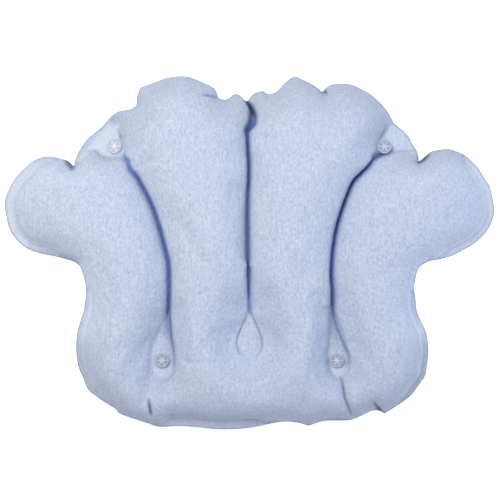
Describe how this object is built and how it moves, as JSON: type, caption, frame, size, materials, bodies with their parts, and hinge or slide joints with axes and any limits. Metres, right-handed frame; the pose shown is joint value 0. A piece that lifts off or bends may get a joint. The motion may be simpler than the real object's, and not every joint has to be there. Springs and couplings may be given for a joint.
{
  "type": "bath pillow",
  "caption": "Inflatable bath pillow: a towelling front welded to a vinyl back in soft air chambers, with side wings, suction cups through the welds and an air valve in the back.",
  "frame": {"origin": "centre of the box on the plane of the suction cup lips, under the middle of the pillow", "axes": "+X to the right wing seen from the towelling side, +Y towards the top lobes, +Z out of the towelling"},
  "size_m": [0.5496, 0.394, 0.0727],
  "materials": {
    "towelling": "pale blue looped terry towelling",
    "clear_film": "smooth pale vinyl film",
    "vinyl_back": "soft satin vinyl sheet",
    "cup_vinyl": "clear soft moulded vinyl",
    "valve_vinyl": "soft moulded vinyl"
  },
  "bodies": {
    "pillow": {"front_cover": "towelling", "front_film": "clear_film", "back_panel": "vinyl_back", "valve_base": "valve_vinyl", "valve_web": "valve_vinyl"},
    "cup_top_left": {"suction_cup_top_left": "cup_vinyl"},
    "cup_top_right": {"suction_cup_top_right": "cup_vinyl"},
    "cup_bottom_left": {"suction_cup_bottom_left": "cup_vinyl"},
    "cup_bottom_right": {"suction_cup_bottom_right": "cup_vinyl"},
    "stem": {"valve_stem": "valve_vinyl", "valve_strap": "valve_vinyl"},
    "plug": {"valve_plug": "valve_vinyl"},
    "flap": {"valve_flap": "clear_film"}
  },
  "joints": [
    {"name": "cup_swivel_top_left", "type": "hinge", "parent": "pillow", "child": "cup_top_left", "pos_m": [-0.1515, 0.119, 0], "axis": [0, 0, 1], "continuous": true},
    {"name": "cup_swivel_top_right", "type": "hinge", "parent": "pillow", "child": "cup_top_right", "pos_m": [0.1515, 0.119, 0], "axis": [0, 0, 1], "continuous": true},
    {"name": "cup_swivel_bottom_left", "type": "hinge", "parent": "pillow", "child": "cup_bottom_left", "pos_m": [-0.098, -0.121, 0], "axis": [0, 0, 1], "continuous": true},
    {"name": "cup_swivel_bottom_right", "type": "hinge", "parent": "pillow", "child": "cup_bottom_right", "pos_m": [0.098, -0.121, 0], "axis": [0, 0, 1], "continuous": true},
    {"name": "stem_pull", "type": "slide", "parent": "pillow", "child": "stem", "axis": [0, 0, -1], "range_m": [0, 0.0095], "deforming": ["valve_web"]},
    {"name": "plug_pull", "type": "slide", "parent": "stem", "child": "plug", "axis": [0, 0, -1], "range_m": [0, 0.012], "deforming": ["valve_strap"]},
    {"name": "flap_open", "type": "hinge", "parent": "stem", "child": "flap", "pos_m": [-0.1324, -0.062, 0.0248], "axis": [0, 1, 0], "range_deg": [0, 60]}
  ]
}
